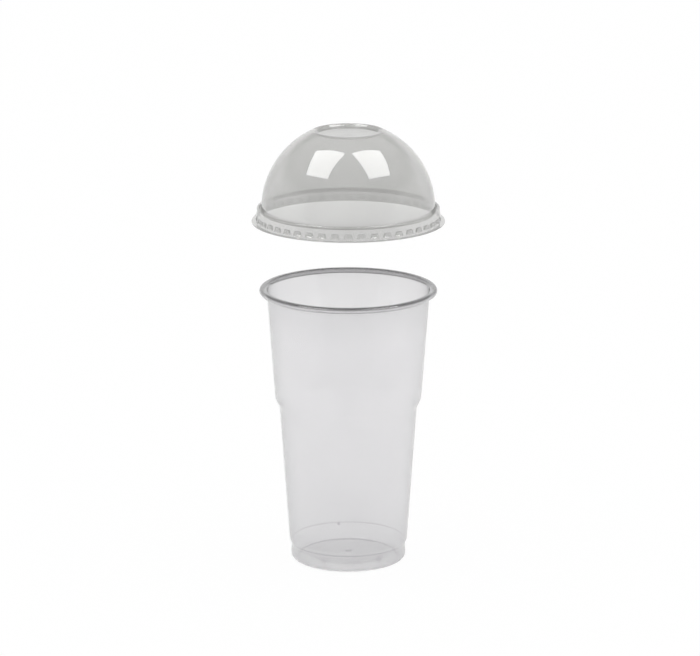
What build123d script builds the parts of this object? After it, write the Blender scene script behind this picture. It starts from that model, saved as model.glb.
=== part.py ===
# A clear disposable drinks cup with its dome lid lifted off above it.
# Both pieces are thermoformed from thin sheet, so each is one skin line of constant thickness
# turned about the cup's axis. Millimetres, +Z up, origin on the axis at the height of the table.
from build123d import *
from math import sqrt
import os

# Cup, main sizes. Radii and diameters are over the outside of the sheet.
cup_height = 150.0
rim_diameter = 95.0
cup_wall = 0.4

# Cup wall, two tapers with a stacking shoulder between them
shoulder_top_diameter = 78.6
shoulder_foot_diameter = 73.9
shoulder_foot_height = 84.8
shoulder_rise = 5.0

# Foot, a ring that bulges below a narrow neck, and a base panel that is pushed up inside it
wall_foot_diameter = 63.7
wall_foot_height = 11.2
neck_diameter = 61.3
neck_height = 7.8
foot_diameter = 61.9
foot_bulge_height = 3.8
foot_corner_bend = 3.0
stand_ring_diameter = 54.0
base_panel_diameter = 49.0
base_rise = 2.4

# Rolled rim, a hollow curl whose free edge stops short of the wall
roll_width = 4.2
roll_height = 3.0
roll_bend = 1.5
roll_chamfer = 1.0
roll_tuck = 0.9

# Lid, main sizes. The dome is a half ball inside the groove, cut off by a sunk round panel.
lid_wall = 0.3
dome_centre_rise = 1.2
panel_diameter = 37.6
panel_sink = 1.8
panel_draft = 1.1
panel_land = 0.7

# Lid foot, a groove that rests on the rolled rim, a ridge over the rim's edge and a flared skirt
groove_floor_width = 1.2
groove_wall_draft = 0.5
ridge_rise = 1.8
ridge_width = 0.7
skirt_depth = 5.6
skirt_flare = 0.6
flange_width = 2.5

# Lugs, dents all round the skirt that catch below the rolled rim
lug_count = 44
lug_top_width = 3.4
lug_bottom_width = 4.8
lug_height = 2.6
lug_top_depth = 1.9

# Fits between the lid and the cup's rolled rim
seat_clearance = 0.1
ridge_clearance = 0.8
lug_clearance = 0.2

# How far the lid is lifted off the cup
lid_lift = 42.0

os.makedirs("parts", exist_ok=True)


def turned_sheet(line, thickness, side):
    """One sheet of constant thickness on one side of a line, turned about the axis."""
    section = make_face(line.offset_2d(thickness, Kind.INTERSECTION, side, closed=True))
    return revolve(Plane.XZ * section, Axis.Z, clean=False)


def halved_bends(line):
    """The line with each bend drawn as two equal arcs, which keeps the turned faces plain."""
    edges = []
    for edge in line.edges():
        if edge.geom_type == GeomType.CIRCLE:
            edges += [edge.trim(0, 0.5), edge.trim(0.5, 1)]
        else:
            edges.append(edge)
    return Wire(edges)


def cup():
    """The cup, drawn along the inner face of its sheet from the base's centre to the curl's edge."""
    panel_level = base_rise + cup_wall
    foot_radius = foot_diameter / 2 - cup_wall
    rim_radius = rim_diameter / 2
    shoulder_top_height = shoulder_foot_height + shoulder_rise
    curl_floor = cup_height - roll_height
    bends = [0, 0, foot_corner_bend - cup_wall, 0, 0, 0, 0, 0, roll_bend, roll_bend, 0, 0]
    line = FilletPolyline(
        (0, panel_level),
        (base_panel_diameter / 2, panel_level),
        (stand_ring_diameter / 2, cup_wall),
        (foot_radius, cup_wall),
        (foot_radius, foot_bulge_height),
        (neck_diameter / 2 - cup_wall, neck_height),
        (wall_foot_diameter / 2 - cup_wall, wall_foot_height),
        (shoulder_foot_diameter / 2 - cup_wall, shoulder_foot_height),
        (shoulder_top_diameter / 2 - cup_wall, shoulder_top_height),
        (rim_radius - roll_width, cup_height),
        (rim_radius, cup_height),
        (rim_radius, curl_floor + roll_chamfer),
        (rim_radius - roll_chamfer, curl_floor),
        (rim_radius - roll_chamfer - roll_tuck, curl_floor),
        radius=bends,
    )
    return turned_sheet(halved_bends(line), cup_wall, Side.RIGHT)


def skirt_radius(depth):
    """The radius of the skirt's inner face at a depth below the ridge, clear of the rim."""
    ridge_radius = rim_diameter / 2 + ridge_clearance
    return ridge_radius + skirt_flare * depth / (ridge_rise + skirt_depth)


def lug_block(margin):
    """A trapezium block out through the skirt, as large as a lug's dent and a margin all round."""
    top = margin - lug_top_depth
    bottom = -margin - lug_top_depth - lug_height
    half_top = lug_top_width / 2 + margin
    half_bottom = lug_bottom_width / 2 + margin
    corners = [(-half_bottom, bottom), (half_bottom, bottom), (half_top, top), (-half_top, top)]
    face = rim_diameter / 2 + lug_clearance + lid_wall - margin
    across = Plane(origin=(face, 0, 0), x_dir=(0, 1, 0), z_dir=(1, 0, 0))
    return extrude(across * make_face(Polyline(*corners, close=True)), flange_width)


def skirt_core():
    """The space inside the middle of the skirt's wall, from the ridge down to the flange."""
    drop = ridge_rise + skirt_depth
    top = skirt_radius(0) + lid_wall / 2
    foot = skirt_radius(drop) + lid_wall / 2
    outline = Polyline(
        (0, ridge_rise), (top, ridge_rise), (foot, -skirt_depth), (0, -skirt_depth), close=True
    )
    return revolve(Plane.XZ * make_face(outline), Axis.Z)


def dome_lid():
    """The lid in its seat, drawn along the underside of its sheet, with the rim's top at height 0."""
    ridge_end = skirt_radius(0)
    ridge_start = ridge_end - ridge_width
    groove_end = ridge_start - groove_wall_draft
    dome_radius = groove_end - groove_floor_width
    panel_radius = panel_diameter / 2
    ring_height = dome_centre_rise + sqrt(dome_radius**2 - panel_radius**2)
    skirt_foot = skirt_radius(ridge_rise + skirt_depth)

    dome = RadiusArc((panel_radius, ring_height), (dome_radius, dome_centre_rise), dome_radius)
    land = dome @ 0 - panel_land * (dome % 0)
    panel = Polyline(
        (0, land.Y - panel_sink), (land.X - panel_draft, land.Y - panel_sink), land, dome @ 0
    )
    foot = Polyline(
        dome @ 1,
        (dome_radius, seat_clearance),
        (groove_end, seat_clearance),
        (ridge_start, ridge_rise),
        (ridge_end, ridge_rise),
        (skirt_foot, -skirt_depth),
        (skirt_foot + flange_width, -skirt_depth),
    )
    line = Wire([*panel.edges(), *dome.edges(), *foot.edges()])
    sheet = turned_sheet(line, lid_wall, Side.LEFT)
    around = PolarLocations(0, lug_count)
    sheet += around * (lug_block(lid_wall) & skirt_core())
    return sheet - around * lug_block(0)


pieces = {
    "cup": cup(),
    "dome_lid": Pos(0, 0, cup_height + lid_lift) * dome_lid(),
}
for name, piece in pieces.items():
    export_step(piece, f"parts/{name}.step")
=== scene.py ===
"""A clear disposable drinks cup with its dome lid lifted off above it, dressed for a studio picture.

Both pieces are thermoformed from thin sheet. Each is modelled as one skin that is drawn out ring by
ring from its centre, rounded at its bends, and given its thickness at the end. Sizes are in metres.
"""

import logging
import math
from dataclasses import dataclass
from enum import Enum

import bmesh
import bpy
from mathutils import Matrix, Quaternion, Vector


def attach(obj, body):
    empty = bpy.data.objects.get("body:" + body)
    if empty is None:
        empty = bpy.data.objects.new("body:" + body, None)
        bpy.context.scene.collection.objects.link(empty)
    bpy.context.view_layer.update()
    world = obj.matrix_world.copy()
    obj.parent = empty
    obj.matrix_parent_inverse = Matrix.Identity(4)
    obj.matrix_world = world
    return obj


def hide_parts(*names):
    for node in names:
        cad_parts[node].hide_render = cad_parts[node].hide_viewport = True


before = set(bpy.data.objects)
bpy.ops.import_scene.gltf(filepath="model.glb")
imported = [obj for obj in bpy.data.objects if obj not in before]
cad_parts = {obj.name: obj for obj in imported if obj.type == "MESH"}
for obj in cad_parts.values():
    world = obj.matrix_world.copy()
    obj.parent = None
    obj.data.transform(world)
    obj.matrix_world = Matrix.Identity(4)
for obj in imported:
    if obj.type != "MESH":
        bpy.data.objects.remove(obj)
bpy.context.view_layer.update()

LOG = logging.getLogger("cup_and_lid")


class Side(Enum):
    """The side of a skin that its thickness grows to, as the sign of Solidify's offset."""

    ALONG_NORMAL = 1.0
    AGAINST_NORMAL = -1.0


@dataclass(frozen=True)
class Ring:
    """One ring of a turned skin, with the radius of the bend that rounds it.

    Its last value scales the sheet's tint there as painted shading: below 1 it paints shade, above 1
    it paints light.
    """

    radius: float
    height: float
    bend: float = 0.0
    bend_steps: int = 4
    density: float = 1.0


@dataclass(frozen=True)
class Speck:
    """A small dark mark in the sheet, with its place, its radius and how clear its middle is."""

    place: tuple[float, float, float]
    radius: float
    clearness: float


@dataclass(frozen=True)
class ClearPlastic:
    """The finish of one clear sheet: its tints, gloss and the marks that forming leaves."""

    name: str
    thin_tint: tuple[float, float, float, float]
    thick_tint: tuple[float, float, float, float]
    # Painted shade along the outline: the tint's scale where the sheet is seen edge-on.
    outline_painted_shade: float
    ior: float
    haze: float
    roughness_low: float
    roughness_high: float
    ripple_scale: float
    ripple_height: float
    streak_strength: float
    specks: tuple[Speck, ...] = ()


CUP_FINISH = ClearPlastic(
    name="hazy_cup_plastic",
    thin_tint=(0.982, 0.978, 0.986, 1.0),
    thick_tint=(0.957, 0.952, 0.963, 1.0),
    outline_painted_shade=0.34,
    ior=1.49,
    haze=0.16,
    roughness_low=0.0,
    roughness_high=0.025,
    ripple_scale=45.0,
    ripple_height=0.000004,
    streak_strength=0.3,
    specks=(
        Speck((-0.0054, 0.0303, 0.0087), 0.0013, 0.55),
        Speck((0.0165, -0.0260, 0.0062), 0.0034, 0.86),
        Speck((-0.0132, -0.0277, 0.0056), 0.0040, 0.92),
        Speck((-0.0125, 0.0015, 0.0029), 0.0035, 0.88),
    ),
)

# The lid's tints are far darker than the cup's: painted shade, the grey of a shaded ground seen
# through the lid.
LID_FINISH = ClearPlastic(
    name="crisp_lid_plastic",
    thin_tint=(0.82, 0.82, 0.808, 1.0),
    thick_tint=(0.785, 0.785, 0.773, 1.0),
    outline_painted_shade=0.6,
    ior=1.55,
    haze=0.22,
    roughness_low=0.0,
    roughness_high=0.03,
    ripple_scale=35.0,
    ripple_height=0.000004,
    streak_strength=0.2,
)

# The attribute that holds the sheet's painted shading, and how narrow the painted shade along an
# outline is
SHADING_ATTRIBUTE = "sheet_painted_shading"
OUTLINE_SHADE_POWER = 4.0

# Sockets of a Mix node, as its two inputs and its output
MIX_VALUES = (2, 3)
MIX_VALUE_OUT = 0
MIX_COLOURS = (6, 7)
MIX_COLOUR_OUT = 2

# How near two places, two heights of faces and two angles are when they are the same
SAME_PLACE = 1e-6
SAME_FACE_HEIGHT = 1e-4
SAME_ANGLE = 1e-3
PLACE_DIGITS = 6

SMOOTH_ANGLE = math.radians(60.0)
WHITE = (1.0, 1.0, 1.0, 1.0)


def select_nothing() -> None:
    """Leave every object and every mesh element unselected."""
    if bpy.context.mode != "OBJECT":
        bpy.ops.object.mode_set(mode="OBJECT")
    bpy.ops.object.select_all(action="DESELECT")


def plain_material(name: str) -> tuple[bpy.types.Material, bpy.types.NodeTree, bpy.types.Node]:
    """Make a node material with one Principled shader.

    Args:
        name: The material's name.

    Returns:
        The material, its node tree and its Principled shader.
    """
    material = bpy.data.materials.new(name)
    material.use_nodes = True
    tree = material.node_tree
    return material, tree, tree.nodes["Principled BSDF"]


def combine(
    tree: bpy.types.NodeTree,
    operation: str,
    first: bpy.types.NodeSocket,
    second: bpy.types.NodeSocket | float,
) -> bpy.types.NodeSocket:
    """Join two values with one math node.

    Args:
        tree: The node tree that gets the node.
        operation: The node's operation.
        first: The first value.
        second: The second value, or a plain number.

    Returns:
        The joined value.
    """
    node = tree.nodes.new("ShaderNodeMath")
    node.operation = operation
    tree.links.new(first, node.inputs[0])
    if isinstance(second, float):
        node.inputs[1].default_value = second
    else:
        tree.links.new(second, node.inputs[1])
    return node.outputs[0]


def rescale(
    tree: bpy.types.NodeTree,
    value: bpy.types.NodeSocket,
    span: tuple[float, float],
    result: tuple[float, float] = (0.0, 1.0),
) -> bpy.types.NodeSocket:
    """Map one span of a value onto another, held at both ends.

    Args:
        tree: The node tree that gets the node.
        value: The value to map.
        span: The value's start and end.
        result: What the start and the end become.

    Returns:
        The mapped value.
    """
    node = tree.nodes.new("ShaderNodeMapRange")
    node.inputs["From Min"].default_value = span[0]
    node.inputs["From Max"].default_value = span[1]
    node.inputs["To Min"].default_value = result[0]
    node.inputs["To Max"].default_value = result[1]
    tree.links.new(value, node.inputs["Value"])
    return node.outputs["Result"]


class FormingMarks:
    """The node group with the marks that forming leaves in a clear sheet."""

    NAME = "forming_marks"
    RIPPLE_DETAIL = 2.0
    STREAK_DETAIL = 1.0
    STREAK_SCALE = 130.0
    STREAK_STRETCH = (1.0, 1.0, 0.06)
    LOW_MARK = 0.3
    HIGH_MARK = 0.7

    def __init__(self) -> None:
        """Build the group's sockets and nodes."""
        self.tree = bpy.data.node_groups.new(self.NAME, "ShaderNodeTree")
        self._sockets()
        self._nodes()

    def _sockets(self) -> None:
        """Name what goes in and what comes out."""
        face = self.tree.interface
        for name, kind in (
            ("Position", "NodeSocketVector"),
            ("Ripple Scale", "NodeSocketFloat"),
            ("Streak Strength", "NodeSocketFloat"),
            ("Thin Tint", "NodeSocketColor"),
            ("Thick Tint", "NodeSocketColor"),
            ("Low Roughness", "NodeSocketFloat"),
            ("High Roughness", "NodeSocketFloat"),
        ):
            face.new_socket(name, in_out="INPUT", socket_type=kind)
        for name, kind in (
            ("Tint", "NodeSocketColor"),
            ("Roughness", "NodeSocketFloat"),
            ("Height", "NodeSocketFloat"),
        ):
            face.new_socket(name, in_out="OUTPUT", socket_type=kind)

    def _nodes(self) -> None:
        """Join soft ripples and long draw streaks into a tint, a roughness and a height."""
        nodes, links = self.tree.nodes, self.tree.links
        source = nodes.new("NodeGroupInput")
        sink = nodes.new("NodeGroupOutput")
        ripple = nodes.new("ShaderNodeTexNoise")
        ripple.inputs["Detail"].default_value = self.RIPPLE_DETAIL
        links.new(source.outputs["Position"], ripple.inputs["Vector"])
        links.new(source.outputs["Ripple Scale"], ripple.inputs["Scale"])
        stretch = nodes.new("ShaderNodeMapping")
        stretch.inputs["Scale"].default_value = self.STREAK_STRETCH
        links.new(source.outputs["Position"], stretch.inputs["Vector"])
        streak = nodes.new("ShaderNodeTexNoise")
        streak.inputs["Scale"].default_value = self.STREAK_SCALE
        streak.inputs["Detail"].default_value = self.STREAK_DETAIL
        links.new(stretch.outputs["Vector"], streak.inputs["Vector"])
        blend = nodes.new("ShaderNodeMix")
        links.new(source.outputs["Streak Strength"], blend.inputs["Factor"])
        links.new(ripple.outputs["Fac"], blend.inputs[MIX_VALUES[0]])
        links.new(streak.outputs["Fac"], blend.inputs[MIX_VALUES[1]])
        height = blend.outputs[MIX_VALUE_OUT]
        mark = rescale(self.tree, height, (self.LOW_MARK, self.HIGH_MARK))
        tint = nodes.new("ShaderNodeMix")
        tint.data_type = "RGBA"
        links.new(mark, tint.inputs["Factor"])
        links.new(source.outputs["Thin Tint"], tint.inputs[MIX_COLOURS[0]])
        links.new(source.outputs["Thick Tint"], tint.inputs[MIX_COLOURS[1]])
        links.new(tint.outputs[MIX_COLOUR_OUT], sink.inputs["Tint"])
        rough = nodes.new("ShaderNodeMapRange")
        links.new(mark, rough.inputs["Value"])
        links.new(source.outputs["Low Roughness"], rough.inputs["To Min"])
        links.new(source.outputs["High Roughness"], rough.inputs["To Max"])
        links.new(rough.outputs["Result"], sink.inputs["Roughness"])
        links.new(height, sink.inputs["Height"])


@dataclass
class TurnedSheet:
    """A thin sheet turned about the axis, modelled ring by ring and then thickened."""

    name: str
    node: str
    body: str
    slot: str
    wall: float
    grows: Side
    finish: ClearPlastic
    segments: int = 176

    def rings(self) -> list[Ring]:
        """The skin's rings from the centre outwards."""
        raise NotImplementedError

    def shades(self) -> list[Ring]:
        """The points along the skin's profile between which its painted shading is blended."""
        return self.rings()

    def shape(self) -> None:
        """Add what isn't turned, with the skin in edit mode."""

    def build(self, marks: FormingMarks) -> bpy.types.Object:
        """Model the piece, dress it and join it to the frame.

        Args:
            marks: The shared node group of forming marks.

        Returns:
            The finished object.
        """
        rings = self.rings()
        self._start(rings[0])
        for inner, ring in zip(rings, rings[1:]):
            self._draw_out(inner, ring)
        self._face_outwards()
        self.shape()
        for ring in rings:
            if ring.bend:
                self._round(ring, rings)
        piece = self._thicken()
        self._mark_painted_shading(piece, self.shades())
        piece.data.materials.clear()
        piece.data.materials.append(self._dress(marks))
        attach(piece, self.body)
        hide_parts(self.node)
        LOG.info("%s: %d faces on body %s", self.name, len(piece.data.polygons), self.body)
        return piece

    def _start(self, ring: Ring) -> None:
        """Add the flat disc in the middle and go into edit mode with its edge selected.

        Args:
            ring: The disc's edge.
        """
        select_nothing()
        bpy.ops.mesh.primitive_circle_add(
            vertices=self.segments,
            radius=ring.radius,
            fill_type="TRIFAN",
            location=(0.0, 0.0, ring.height),
        )
        piece = bpy.context.object
        piece.name = self.name
        bpy.ops.object.transform_apply(location=True, rotation=True, scale=True)
        bpy.ops.object.mode_set(mode="EDIT")
        bpy.ops.mesh.select_mode(type="EDGE")
        bpy.ops.mesh.select_all(action="SELECT")
        bpy.ops.mesh.region_to_loop()

    def _draw_out(self, inner: Ring, ring: Ring) -> None:
        """Extrude the open edge and move it from one ring to the next.

        Args:
            inner: The ring that the open edge is at.
            ring: The ring that it goes to.
        """
        bpy.ops.mesh.extrude_edges_move(
            TRANSFORM_OT_translate={"value": (0.0, 0.0, ring.height - inner.height)}
        )
        scale = ring.radius / inner.radius
        bpy.ops.transform.resize(
            value=(scale, scale, 1.0), center_override=(0.0, 0.0, ring.height)
        )

    def _face_outwards(self) -> None:
        """Make all faces point the same way, with the centre disc's normal up."""
        bpy.ops.mesh.select_all(action="SELECT")
        bpy.ops.mesh.normals_make_consistent(inside=False)
        mesh = bmesh.from_edit_mesh(bpy.context.object.data)
        middle = min(mesh.faces, key=lambda face: face.calc_center_median().xy.length)
        if middle.normal.z < 0.0:
            bpy.ops.mesh.flip_normals()

    def _select_ring(self, ring: Ring) -> None:
        """Select the edges of one ring.

        Args:
            ring: The ring to select.
        """
        bpy.ops.mesh.select_mode(type="EDGE")
        bpy.ops.mesh.select_all(action="DESELECT")
        mesh = bmesh.from_edit_mesh(bpy.context.object.data)
        for edge in mesh.edges:
            edge.select = all(
                abs(vert.co.z - ring.height) < SAME_PLACE
                and abs(vert.co.xy.length - ring.radius) < SAME_PLACE
                for vert in edge.verts
            )
        mesh.select_flush(True)
        bmesh.update_edit_mesh(bpy.context.object.data)

    def _round(self, ring: Ring, rings: list[Ring]) -> None:
        """Bevel one ring so that its bend has the ring's own radius.

        Args:
            ring: The ring to round.
            rings: All the rings, for the two beside it.
        """
        at = rings.index(ring)
        here = Vector((ring.radius, ring.height))
        before = Vector((rings[at - 1].radius, rings[at - 1].height)) - here
        after = Vector((rings[at + 1].radius, rings[at + 1].height)) - here
        turn = math.pi - before.angle(after)
        self._select_ring(ring)
        bpy.ops.mesh.bevel(
            offset=ring.bend * math.tan(turn / 2.0),
            offset_type="OFFSET",
            segments=ring.bend_steps,
            profile=0.5,
            affect="EDGES",
            clamp_overlap=False,
        )

    def _thicken(self) -> bpy.types.Object:
        """Merge doubles, give the skin its thickness and smooth its shading.

        Returns:
            The thickened piece.
        """
        bpy.ops.mesh.select_all(action="SELECT")
        bpy.ops.mesh.remove_doubles(threshold=SAME_PLACE)
        bpy.ops.object.mode_set(mode="OBJECT")
        piece = bpy.context.object
        solid = piece.modifiers.new("sheet", "SOLIDIFY")
        solid.thickness = self.wall
        solid.offset = self.grows.value
        solid.use_even_offset = True
        bpy.ops.object.modifier_apply(modifier=solid.name)
        bpy.ops.object.shade_smooth_by_angle(angle=SMOOTH_ANGLE)
        return piece

    def _mark_painted_shading(self, piece: bpy.types.Object, shades: list[Ring]) -> None:
        """Store the sheet's painted shading at every point, blended along the nearest run of its
        profile.

        Args:
            piece: The thickened piece.
            shades: The points along its profile that state its painted shading.
        """
        runs = []
        for inner, outer in zip(shades, shades[1:]):
            start = Vector((inner.radius, inner.height))
            along = Vector((outer.radius, outer.height)) - start
            runs.append((start, along, inner.density, outer.density - inner.density))
        found: dict[tuple[float, float], float] = {}
        store = piece.data.attributes.new(SHADING_ATTRIBUTE, "FLOAT", "POINT")
        for vert in piece.data.vertices:
            place = (round(vert.co.xy.length, PLACE_DIGITS), round(vert.co.z, PLACE_DIGITS))
            if place not in found:
                best = math.inf
                for start, along, density, change in runs:
                    share = (Vector(place) - start).dot(along) / along.length_squared
                    share = min(max(share, 0.0), 1.0)
                    gap = (Vector(place) - start - along * share).length
                    if gap < best:
                        best = gap
                        found[place] = density + change * share
            store.data[vert.index].value = found[place]

    def _dress(self, marks: FormingMarks) -> bpy.types.Material:
        """Make the clear plastic of this sheet.

        Args:
            marks: The shared node group of forming marks.

        Returns:
            The material.
        """
        finish = self.finish
        material, tree, shader = plain_material(finish.name)
        shader.inputs["IOR"].default_value = finish.ior
        shader.inputs["Transmission Weight"].default_value = 1.0 - finish.haze
        place = tree.nodes.new("ShaderNodeTexCoord")
        group = tree.nodes.new("ShaderNodeGroup")
        group.node_tree = marks.tree
        group.inputs["Ripple Scale"].default_value = finish.ripple_scale
        group.inputs["Streak Strength"].default_value = finish.streak_strength
        group.inputs["Thin Tint"].default_value = finish.thin_tint
        group.inputs["Thick Tint"].default_value = finish.thick_tint
        group.inputs["Low Roughness"].default_value = finish.roughness_low
        group.inputs["High Roughness"].default_value = finish.roughness_high
        bump = tree.nodes.new("ShaderNodeBump")
        bump.inputs["Distance"].default_value = finish.ripple_height
        tree.links.new(place.outputs["Object"], group.inputs["Position"])
        depth = self._painted_shading_and_specks(tree, place.outputs["Object"])
        tint = tree.nodes.new("ShaderNodeVectorMath")
        tint.operation = "SCALE"
        tree.links.new(group.outputs["Tint"], tint.inputs[0])
        tree.links.new(depth, tint.inputs["Scale"])
        tree.links.new(tint.outputs[0], shader.inputs["Base Color"])
        tree.links.new(group.outputs["Roughness"], shader.inputs["Roughness"])
        tree.links.new(group.outputs["Height"], bump.inputs["Height"])
        tree.links.new(bump.outputs["Normal"], shader.inputs["Normal"])
        return material

    def _painted_shading_and_specks(
        self, tree: bpy.types.NodeTree, position: bpy.types.NodeSocket
    ) -> bpy.types.NodeSocket:
        """Join the sheet's painted shading, the painted shade along its outline and its specks.

        Args:
            tree: The material's node tree.
            position: The place on the sheet.

        Returns:
            What the tint is scaled by.
        """
        density = tree.nodes.new("ShaderNodeAttribute")
        density.attribute_name = SHADING_ATTRIBUTE
        # Painted shade along the outline: the tint darkens where the sheet is seen edge-on.
        slant = tree.nodes.new("ShaderNodeLayerWeight")
        steep = combine(tree, "POWER", slant.outputs["Facing"], OUTLINE_SHADE_POWER)
        edge = rescale(tree, steep, (0.0, 1.0), (1.0, self.finish.outline_painted_shade))
        depth = combine(tree, "MULTIPLY", density.outputs["Fac"], edge)
        for speck in self.finish.specks:
            away = tree.nodes.new("ShaderNodeVectorMath")
            away.operation = "DISTANCE"
            away.inputs[1].default_value = speck.place
            tree.links.new(position, away.inputs[0])
            span = (0.0, speck.radius)
            fade = rescale(tree, away.outputs["Value"], span, (speck.clearness, 1.0))
            fade.node.interpolation_type = "SMOOTHSTEP"
            depth = combine(tree, "MULTIPLY", depth, fade)
        return depth


@dataclass
class Cup(TurnedSheet):
    """The cup. Its rings lie on the inner face of the sheet and the thickness grows outwards."""

    name: str = "clear_cup"
    node: str = "cup"
    body: str = "cup"
    slot: str = "cup_plastic"
    wall: float = 0.0004
    grows: Side = Side.AGAINST_NORMAL
    finish: ClearPlastic = CUP_FINISH

    height: float = 0.150
    rim_radius: float = 0.0475
    shoulder_top_radius: float = 0.0393
    shoulder_foot_radius: float = 0.03695
    shoulder_foot_height: float = 0.0848
    shoulder_rise: float = 0.005
    wall_foot_radius: float = 0.03185
    wall_foot_height: float = 0.0112
    neck_radius: float = 0.03065
    neck_height: float = 0.0078
    foot_radius: float = 0.03095
    foot_bulge_height: float = 0.0038
    stand_ring_radius: float = 0.027
    base_panel_radius: float = 0.0245
    base_rise: float = 0.0024
    panel_edge: float = 0.004
    roll_width: float = 0.0042
    roll_height: float = 0.003
    roll_bend: float = 0.0015
    roll_chamfer: float = 0.001
    roll_tuck: float = 0.0009
    gate_crown_radius: float = 0.00096
    gate_radius: float = 0.0016
    gate_foot_radius: float = 0.00224
    gate_height: float = 0.0003
    gate_side_height: float = 0.00012
    crease_width: float = 0.0005
    # How far the painted shade reaches up from the wall's foot and down from the roll.
    foot_shade_reach: float = 0.018
    roll_shade_reach: float = 0.022

    gate_bend: float = 0.0002
    gate_steps: int = 2
    panel_bend: float = 0.0062
    panel_steps: int = 7
    stand_ring_bend: float = 0.0022
    foot_corner_bend: float = 0.0024
    foot_corner_steps: int = 6
    foot_bulge_bend: float = 0.003
    neck_bend: float = 0.0018
    shoulder_bend: float = 0.0025
    roll_steps: int = 8
    curl_bend: float = 0.001

    # Painted shading of the cup's lower part: painted shade on the gate mark, the base, the foot,
    # the crease over it and the lower wall, and a little painted light on the base panel's edge.
    gate_painted_shade: float = 0.68
    base_painted_shade: float = 0.95
    panel_edge_painted_light: float = 1.02
    foot_corner_painted_shade: float = 0.935
    foot_bulge_painted_shade: float = 0.93
    neck_painted_shade: float = 0.945
    crease_painted_shade: float = 0.72
    lower_wall_painted_shade: float = 0.977
    # Painted shading of the cup's top: painted shade under the roll and on the roll and its curl,
    # darkest as a painted dark line along the roll's outer bend.
    under_roll_painted_shade: float = 0.94
    roll_painted_shade: float = 0.6
    roof_painted_shade: float = 0.48
    roll_line_painted_shade: float = 0.38
    roll_side_painted_shade: float = 0.95
    curl_painted_shade: float = 0.8
    curl_edge_painted_shade: float = 0.7

    def rings(self) -> list[Ring]:
        """Lay out the inner face, from the gate mark in the base to the curl's free edge.

        Returns:
            The rings from the centre outwards.
        """
        wall = self.wall
        roof = self.height
        panel = self.base_rise + wall
        gate_top = panel + self.gate_height
        curl_floor = roof - self.roll_height
        curl_radius = self.rim_radius - self.roll_chamfer
        neck = Ring(
            self.neck_radius - wall, self.neck_height, self.neck_bend, density=self.neck_painted_shade
        )
        foot = Ring(
            self.wall_foot_radius - wall,
            self.wall_foot_height,
            self.neck_bend,
            density=self.neck_painted_shade,
        )
        crease = Ring(
            (neck.radius + foot.radius) / 2.0,
            (neck.height + foot.height) / 2.0,
            density=self.crease_painted_shade,
        )
        shoulder = Ring(
            self.shoulder_foot_radius - wall, self.shoulder_foot_height, self.shoulder_bend
        )
        top = Ring(
            self.shoulder_top_radius - wall,
            self.shoulder_foot_height + self.shoulder_rise,
            self.shoulder_bend,
        )
        roll = Ring(
            self.rim_radius - self.roll_width,
            roof,
            self.roll_bend,
            self.roll_steps,
            self.roll_painted_shade,
        )
        return [
            Ring(self.gate_crown_radius, gate_top, density=self.gate_painted_shade),
            Ring(
                self.gate_radius,
                panel + self.gate_side_height,
                self.gate_bend,
                self.gate_steps,
                self.gate_painted_shade,
            ),
            Ring(self.gate_foot_radius, panel, self.gate_bend, self.gate_steps, self.base_painted_shade),
            Ring(self.base_panel_radius - self.panel_edge, panel, density=self.base_painted_shade),
            Ring(
                self.base_panel_radius,
                panel,
                self.panel_bend,
                self.panel_steps,
                self.panel_edge_painted_light,
            ),
            Ring(self.stand_ring_radius, wall, self.stand_ring_bend, density=self.base_painted_shade),
            Ring(
                self.foot_radius - wall,
                wall,
                self.foot_corner_bend,
                self.foot_corner_steps,
                self.foot_corner_painted_shade,
            ),
            Ring(
                self.foot_radius - wall,
                self.foot_bulge_height,
                self.foot_bulge_bend,
                density=self.foot_bulge_painted_shade,
            ),
            neck,
            self._beside(crease, neck, self.crease_width, self.neck_painted_shade),
            crease,
            self._beside(crease, foot, self.crease_width, self.neck_painted_shade),
            foot,
            self._beside(foot, shoulder, self.foot_shade_reach, self.lower_wall_painted_shade),
            shoulder,
            top,
            self._beside(roll, top, self.roll_shade_reach, 1.0),
            self._beside(roll, top, self.roll_height, self.under_roll_painted_shade),
            roll,
            Ring(self.rim_radius, roof, self.roll_bend, self.roll_steps),
            Ring(
                self.rim_radius,
                curl_floor + self.roll_chamfer,
                self.curl_bend,
                density=self.roll_side_painted_shade,
            ),
            Ring(curl_radius, curl_floor, self.curl_bend, density=self.curl_painted_shade),
            Ring(curl_radius - self.roll_tuck, curl_floor, density=self.curl_edge_painted_shade),
        ]

    def shades(self) -> list[Ring]:
        """Take the rings' painted shading, with a painted dark line along the roll's outer bend.

        Returns:
            The points along the profile that state the painted shading.
        """
        radius, height, bend = self.rim_radius, self.height, self.roll_bend
        middle = bend * (1.0 - math.cos(math.pi / 4.0))
        painted_roll_line = [
            Ring(radius - bend, height, density=self.roof_painted_shade),
            Ring(radius - middle, height - middle, density=self.roll_line_painted_shade),
            Ring(radius, height - bend, density=self.roll_side_painted_shade),
        ]
        shades: list[Ring] = []
        for ring in self.rings():
            outer_bend = ring.radius == self.rim_radius and ring.height == self.height
            shades += painted_roll_line if outer_bend else [ring]
        return shades

    def _beside(self, ring: Ring, other: Ring, distance: float, density: float) -> Ring:
        """Place a ring close to another one, where the sheet's painted shading changes.

        Args:
            ring: The ring to start from.
            other: The ring on the side that is asked for.
            distance: How far the new ring lies from the first.
            density: The new ring's painted shading.

        Returns:
            The new ring.
        """
        here = Vector((ring.radius, ring.height))
        away = Vector((other.radius, other.height)) - here
        near = here + away.normalized() * distance
        return Ring(near.x, near.y, density=density)


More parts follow.
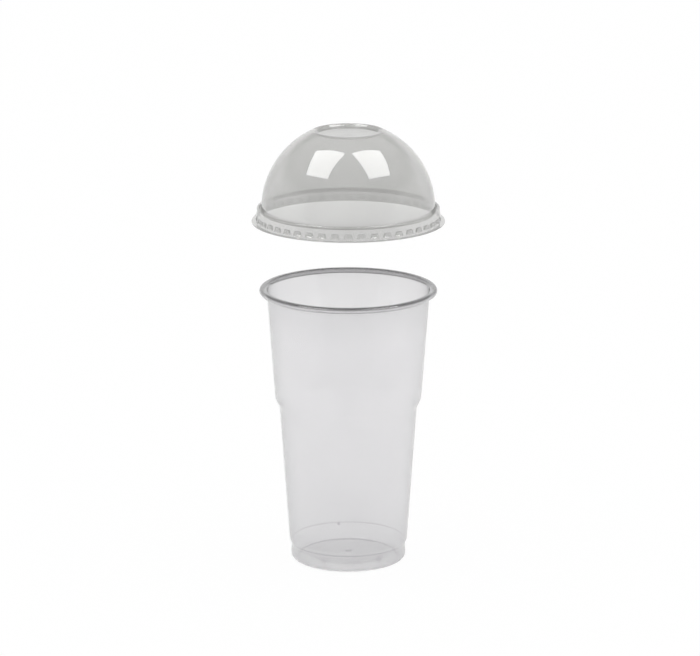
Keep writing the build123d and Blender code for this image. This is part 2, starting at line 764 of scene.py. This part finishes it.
@dataclass
class DomeLid(TurnedSheet):
    """The lid. Its rings lie on the underside of the sheet and the thickness grows upwards."""

    name: str = "clear_dome_lid"
    node: str = "dome_lid"
    body: str = "lid"
    slot: str = "lid_plastic"
    wall: float = 0.0003
    grows: Side = Side.ALONG_NORMAL
    finish: ClearPlastic = LID_FINISH

    seat_height: float = 0.192
    seat_clearance: float = 0.0001
    dome_radius: float = 0.0459
    dome_centre_rise: float = 0.0012
    dome_steps: int = 24
    panel_radius: float = 0.0188
    panel_sink: float = 0.0018
    panel_draft: float = 0.0011
    panel_land: float = 0.0007
    groove_floor_width: float = 0.0012
    groove_wall_draft: float = 0.0005
    ridge_rise: float = 0.0018
    ridge_width: float = 0.0007
    skirt_depth: float = 0.0056
    skirt_flare: float = 0.0006
    flange_width: float = 0.00248
    lug_count: int = 44
    lug_top_width: float = 0.0034
    lug_bottom_width: float = 0.0048
    lug_height: float = 0.0026
    lug_top_depth: float = 0.0019
    lug_face_radius: float = 0.0477
    lug_slope: float = 0.0006

    centre_radius: float = 0.0015
    panel_bend: float = 0.002
    panel_steps: int = 6
    land_bend: float = 0.0007
    dome_foot_bend: float = 0.0007
    dome_foot_steps: int = 5
    groove_bend: float = 0.0005
    ridge_bend: float = 0.00038
    flange_bend: float = 0.0003
    flange_steps: int = 3

    # Painted shading of the lid's dome: painted shade on the sunk panel and the dome's foot, painted
    # light on the land and the dome's top.
    panel_painted_shade: float = 0.95
    land_painted_light: float = 1.1
    dome_top_painted_light: float = 1.12
    dome_foot_painted_shade: float = 0.92
    # Painted light on the groove and the ridge.
    groove_painted_light: float = 1.12
    ridge_painted_light: float = 1.2
    # Painted shade on the skirt, the lug floors and the flange.
    skirt_painted_shade: float = 0.9
    lug_painted_shade: float = 0.82
    flange_painted_shade: float = 0.95

    def skirt_radius(self, height: float) -> float:
        """Work out the radius of the skirt's inner face.

        Args:
            height: The height over the seat.

        Returns:
            The radius at that height.
        """
        top = self.dome_radius + self.groove_floor_width + self.groove_wall_draft + self.ridge_width
        drop = self.ridge_rise + self.skirt_depth
        return top + self.skirt_flare * (self.ridge_rise - height) / drop

    def rings(self) -> list[Ring]:
        """Lay out the underside, from the sunk top panel to the edge of the flange.

        Returns:
            The rings from the centre outwards.
        """
        seat = self.seat_height
        start = math.acos(self.panel_radius / self.dome_radius)
        edge_height = seat + self.dome_centre_rise + self.dome_radius * math.sin(start)
        land_radius = self.panel_radius - self.panel_land * math.sin(start)
        land_height = edge_height + self.panel_land * math.cos(start)
        panel_height = land_height - self.panel_sink
        rings = [
            Ring(self.centre_radius, panel_height, density=self.panel_painted_shade),
            Ring(
                land_radius - self.panel_draft,
                panel_height,
                self.panel_bend,
                self.panel_steps,
                self.panel_painted_shade,
            ),
            Ring(land_radius, land_height, self.land_bend, density=self.land_painted_light),
        ]
        # Painted light and shade on the dome: lighter towards its top, darker towards its foot.
        for step in range(self.dome_steps + 1):
            angle = start * (1.0 - step / self.dome_steps)
            rings.append(
                Ring(
                    self.dome_radius * math.cos(angle),
                    seat + self.dome_centre_rise + self.dome_radius * math.sin(angle),
                    density=self.dome_foot_painted_shade
                    + (self.dome_top_painted_light - self.dome_foot_painted_shade) * math.sin(angle),
                )
            )
        floor = seat + self.seat_clearance
        ridge = seat + self.ridge_rise
        groove_end = self.dome_radius + self.groove_floor_width
        ridge_start = groove_end + self.groove_wall_draft
        ridge_end = ridge_start + self.ridge_width
        foot = self.skirt_radius(-self.skirt_depth)
        rings += [
            Ring(
                self.dome_radius,
                floor,
                self.dome_foot_bend,
                self.dome_foot_steps,
                self.groove_painted_light,
            ),
            Ring(groove_end, floor, self.groove_bend, density=self.groove_painted_light),
            Ring(ridge_start, ridge, self.ridge_bend, density=self.ridge_painted_light),
            Ring(ridge_end, ridge, self.ridge_bend, density=self.ridge_painted_light),
        ]
        lug_top = -self.lug_top_depth
        for height in (self.ridge_rise / 2.0, lug_top, lug_top - self.lug_height):
            rings.append(
                Ring(self.skirt_radius(height), seat + height, density=self.skirt_painted_shade)
            )
        flange = seat - self.skirt_depth
        rings += [
            Ring(foot, flange, self.flange_bend, self.flange_steps, self.flange_painted_shade),
            Ring(foot + self.flange_width, flange, density=self.flange_painted_shade),
        ]
        return rings

    def shades(self) -> list[Ring]:
        """Take the rings' painted shading, with painted shade on the floor of every lug.

        Returns:
            The points along the profile that state a density.
        """
        lug_top = self.seat_height - self.lug_top_depth
        shades: list[Ring] = []
        for ring in self.rings():
            shades.append(ring)
            if ring.height == lug_top:
                for drop in (self.lug_slope, self.lug_height - self.lug_slope):
                    shades.append(
                        Ring(self.lug_face_radius, lug_top - drop, density=self.lug_painted_shade)
                    )
        return shades

    def shape(self) -> None:
        """Press the lugs into the skirt, with the skin in edit mode."""
        pitch = math.tau / self.lug_count
        half = math.tau / self.segments
        lug_top = self.seat_height - self.lug_top_depth
        lug_bottom = lug_top - self.lug_height
        top_radius = self.skirt_radius(-self.lug_top_depth)
        bottom_radius = self.skirt_radius(-self.lug_top_depth - self.lug_height)
        for sign in (-1.0, 1.0):
            for height, radius, width in (
                (lug_top, top_radius, self.lug_top_width),
                (lug_bottom, bottom_radius, self.lug_bottom_width),
            ):
                turn = sign * (width / 2.0 / radius - half)
                self._turn_corners(height, sign * half, pitch, turn)
        self._press(lug_top, lug_bottom, pitch, half)

    def _turn_corners(self, height: float, corner: float, pitch: float, turn: float) -> None:
        """Turn one corner of every lug about the axis.

        Args:
            height: The height of the ring that holds the corners.
            corner: The corner's angle from the middle of its lug.
            pitch: The angle from lug to lug.
            turn: How far the corners turn, counter-clockwise from above.
        """
        mesh = bmesh.from_edit_mesh(bpy.context.object.data)
        for vert in mesh.verts:
            if abs(vert.co.z - height) > SAME_PLACE:
                continue
            angle = math.atan2(vert.co.y, vert.co.x) - corner
            if abs(angle - pitch * round(angle / pitch)) < SAME_ANGLE:
                radius = vert.co.xy.length
                angle = math.atan2(vert.co.y, vert.co.x) + turn
                vert.co.x, vert.co.y = radius * math.cos(angle), radius * math.sin(angle)
        bmesh.update_edit_mesh(bpy.context.object.data)

    def _press(self, lug_top: float, lug_bottom: float, pitch: float, half: float) -> None:
        """Inset the faces of every lug and press them inwards to the lugs' own radius.

        Args:
            lug_top: The height of the lugs' upper edge.
            lug_bottom: The height of the lugs' lower edge.
            pitch: The angle from lug to lug.
            half: The angle of one column of faces.
        """
        bpy.ops.mesh.select_mode(type="FACE")
        bpy.ops.mesh.select_all(action="DESELECT")
        mesh = bmesh.from_edit_mesh(bpy.context.object.data)
        middle = (lug_top + lug_bottom) / 2.0
        for face in mesh.faces:
            centre = face.calc_center_median()
            angle = math.atan2(centre.y, centre.x)
            from_lug = abs(angle - pitch * round(angle / pitch))
            face.select = (
                abs(centre.z - middle) < SAME_FACE_HEIGHT
                and centre.xy.length > self.dome_radius
                and from_lug < half
            )
        bmesh.update_edit_mesh(bpy.context.object.data)
        bpy.ops.mesh.inset(thickness=self.lug_slope, depth=0.0, use_even_offset=True)
        mesh = bmesh.from_edit_mesh(bpy.context.object.data)
        for vert in mesh.verts:
            if vert.select:
                scale = self.lug_face_radius / vert.co.xy.length
                vert.co.x *= scale
                vert.co.y *= scale
        bmesh.update_edit_mesh(bpy.context.object.data)


@dataclass(frozen=True)
class Softbox:
    """A rectangular lamp that shows as a bright window in the gloss and lights nothing else."""

    name: str
    place: tuple[float, float, float]
    aim: tuple[float, float, float]
    turn: float
    width: float = 0.585
    length: float = 0.63
    brightness: float = 7.2

    def build(self) -> None:
        """Add the lamp, aim it and turn it about its own axis."""
        lamp = bpy.data.lights.new(self.name, "AREA")
        lamp.shape = "RECTANGLE"
        lamp.size, lamp.size_y = self.width, self.length
        lamp.energy = self.brightness * math.pi * self.width * self.length
        holder = bpy.data.objects.new(self.name, lamp)
        bpy.context.scene.collection.objects.link(holder)
        holder.location = self.place
        look = Vector(self.aim) - Vector(self.place)
        holder.rotation_mode = "QUATERNION"
        holder.rotation_quaternion = look.to_track_quat("-Z", "Y") @ Quaternion(
            (0.0, 0.0, 1.0), self.turn
        )
        holder.visible_diffuse = False
        holder.visible_transmission = False


@dataclass
class Studio:
    """The floor, the world, the lamps and the camera."""

    floor_size: float = 30.0
    floor_front: float = 0.9
    camera_side: float = 0.0009
    camera_distance: float = 2.0
    camera_height: float = 0.6429
    aim_height: float = 0.1276
    lens: float = 198.5
    sensor: float = 36.0
    room_start: float = 0.3
    room_end: float = 0.6
    ceiling_start: float = 0.25
    ceiling_end: float = 0.45
    ceiling_grey: float = 0.3
    floor_drop: float = 0.0001
    floor_colour: tuple[float, float, float, float] = (0.97, 0.97, 0.97, 1.0)
    floor_roughness: float = 0.9
    floor_glow: float = 0.96
    far_clip: float = 100.0
    softboxes: tuple[Softbox, ...] = (
        Softbox("left_softbox", (-0.469, -0.11, 1.008), (-0.3925, 0.1345, 0.145), -0.327),
        Softbox("right_softbox", (0.471, -0.11, 1.008), (0.3945, 0.1345, 0.145), 0.327),
    )

    def build(self) -> None:
        """Set up the whole studio."""
        self._floor()
        self._world()
        for softbox in self.softboxes:
            softbox.build()
        self._camera()

    def _floor(self) -> None:
        """Add the pale floor, which is white to the eye and keeps the shadow."""
        select_nothing()
        bpy.ops.mesh.primitive_plane_add(
            size=self.floor_size,
            location=(0.0, self.floor_size / 2.0 - self.floor_front, -self.floor_drop),
        )
        floor = bpy.context.object
        floor.name = "studio_floor"
        material, tree, shader = plain_material("pale_floor")
        shader.inputs["Base Color"].default_value = self.floor_colour
        shader.inputs["Roughness"].default_value = self.floor_roughness
        glow = tree.nodes.new("ShaderNodeEmission")
        mix = tree.nodes.new("ShaderNodeMixShader")
        rays = tree.nodes.new("ShaderNodeLightPath").outputs
        seen = combine(tree, "ADD", rays["Is Camera Ray"], rays["Is Glossy Ray"])
        seen = combine(tree, "ADD", seen, rays["Is Transmission Ray"])
        seen.node.use_clamp = True
        links = tree.links
        links.new(combine(tree, "MULTIPLY", seen, self.floor_glow), mix.inputs[0])
        links.new(shader.outputs[0], mix.inputs[1])
        links.new(glow.outputs[0], mix.inputs[2])
        links.new(mix.outputs[0], tree.nodes["Material Output"].inputs["Surface"])
        floor.data.materials.append(material)

    def _world(self) -> None:
        """Make the world white, with a dim ceiling and a dim room behind the camera.

        Only the gloss shows both. Clear sheet shows the ceiling too, along its edges.
        """
        world = bpy.data.worlds.new("studio_world")
        bpy.context.scene.world = world
        world.use_nodes = True
        tree = world.node_tree
        place = tree.nodes.new("ShaderNodeTexCoord")
        parts = tree.nodes.new("ShaderNodeSeparateXYZ")
        tree.links.new(place.outputs["Generated"], parts.inputs[0])
        rays = tree.nodes.new("ShaderNodeLightPath").outputs
        ceiling = rescale(tree, parts.outputs["Z"], (self.ceiling_start, self.ceiling_end))
        room = rescale(tree, parts.outputs["Y"], (-self.room_start, -self.room_end))
        both = combine(tree, "MAXIMUM", ceiling, room)
        glossy = combine(tree, "MULTIPLY", rays["Is Glossy Ray"], both)
        clear = combine(tree, "MULTIPLY", rays["Is Transmission Ray"], ceiling)
        colour = tree.nodes.new("ShaderNodeMix")
        colour.data_type = "RGBA"
        colour.inputs[MIX_COLOURS[0]].default_value = WHITE
        colour.inputs[MIX_COLOURS[1]].default_value = (*(self.ceiling_grey,) * 3, 1.0)
        tree.links.new(combine(tree, "MAXIMUM", glossy, clear), colour.inputs["Factor"])
        background = tree.nodes["Background"]
        tree.links.new(colour.outputs[MIX_COLOUR_OUT], background.inputs["Color"])

    def _camera(self) -> None:
        """Add the camera at the photograph's viewing angle."""
        data = bpy.data.cameras.new("photo_camera")
        data.lens = self.lens
        data.sensor_width = self.sensor
        data.clip_end = self.far_clip
        camera = bpy.data.objects.new("photo_camera", data)
        bpy.context.scene.collection.objects.link(camera)
        camera.location = (self.camera_side, -self.camera_distance, self.camera_height)
        aim = Vector((self.camera_side, 0.0, self.aim_height))
        camera.rotation_mode = "QUATERNION"
        camera.rotation_quaternion = (aim - camera.location).to_track_quat("-Z", "Y")
        bpy.context.scene.camera = camera


def main() -> None:
    """Build the pieces and the studio; each piece logs its face count."""
    logging.basicConfig(level=logging.INFO, format="%(name)s: %(message)s")
    bpy.context.scene.view_settings.view_transform = "Standard"
    marks = FormingMarks()
    Cup().build(marks)
    DomeLid().build(marks)
    Studio().build()
    select_nothing()


if __name__ == "__main__":
    main()
